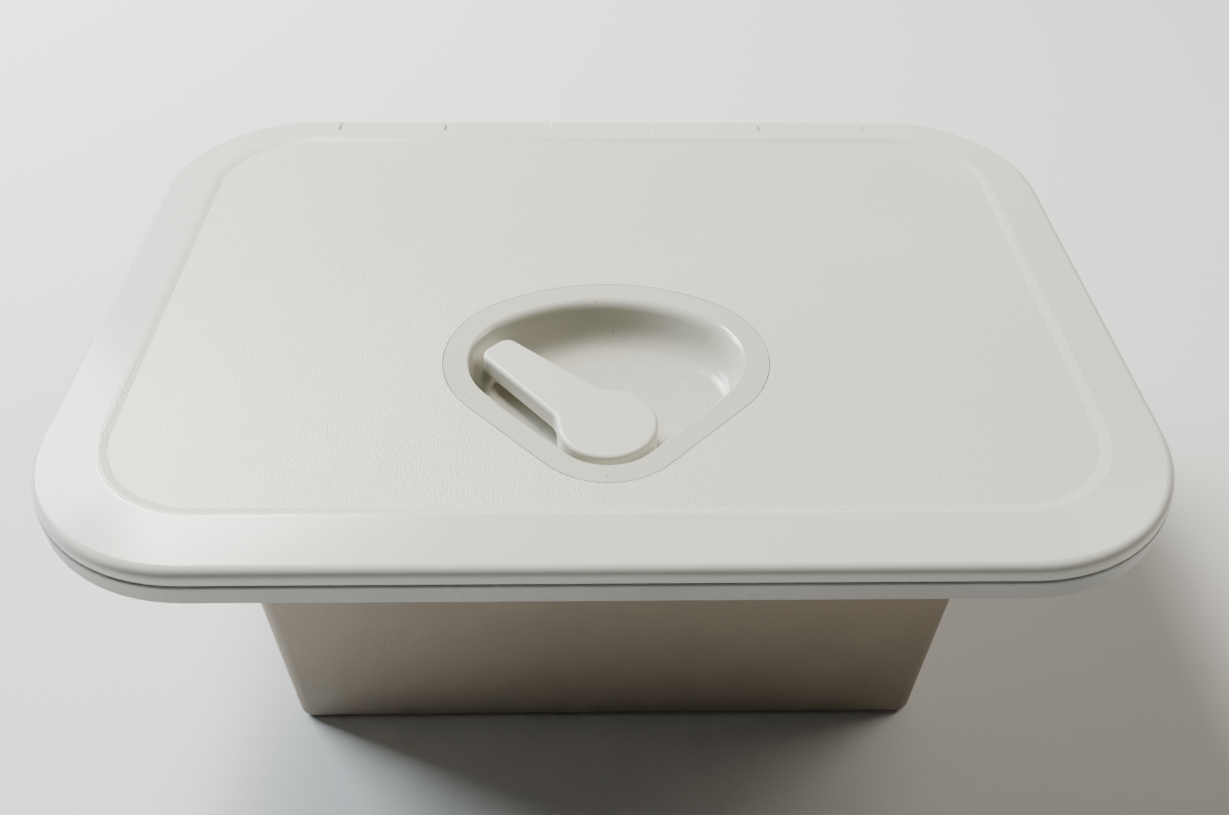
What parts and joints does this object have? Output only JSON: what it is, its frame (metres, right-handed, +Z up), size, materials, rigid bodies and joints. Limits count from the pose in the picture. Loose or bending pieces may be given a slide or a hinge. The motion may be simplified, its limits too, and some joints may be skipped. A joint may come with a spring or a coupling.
{
  "type": "deck hatch",
  "caption": "Rounded rectangular boat deck hatch: hinged white lid with a sunk grained panel, scooped turn-lever latch and a storage tub hung below its flange.",
  "frame": {"origin": "middle of the flange's underside, on the deck plane", "axes": "+X along the hinge, +Y from the latch towards the hinge, +Z up out of the deck"},
  "size_m": [0.375, 0.27, 0.1354],
  "materials": {
    "frame_plastic": "moulded gloss",
    "lid_plastic": "gloss border, grained panel",
    "dish_plastic": "gloss",
    "lever_plastic": "fine satin",
    "tub_plastic": "matte",
    "seal_rubber": "matte",
    "steel": "brushed stainless",
    "nylon": "matte"
  },
  "bodies": {
    "frame": {"frame": "frame_plastic", "lid_seal": "seal_rubber", "storage_tub": "tub_plastic", "hinge_pin": "steel", "latch_keeper": "steel", "keeper_screws": "steel"},
    "lid": {"lid": "lid_plastic", "hinge_pin_plugs": "lid_plastic", "latch_dish": "dish_plastic", "dish_gasket": "seal_rubber", "dish_screws": "steel", "spindle_bush": "nylon"},
    "latch": {"latch_lever": "lever_plastic", "latch_spindle": "steel", "spindle_o_ring": "seal_rubber", "friction_washer": "nylon", "latch_cam": "steel", "cam_washer": "steel", "cam_screw": "steel"}
  },
  "joints": [
    {"name": "lid_hinge", "type": "hinge", "parent": "frame", "child": "lid", "pos_m": [0, 0.129, 0.00814], "axis": [-1, 0, 0], "range_deg": [0, 105]},
    {"name": "latch_turn", "type": "hinge", "parent": "lid", "child": "latch", "pos_m": [0, -0.0715, 0], "axis": [0, 0, 1], "range_deg": [-90, 0]}
  ]
}
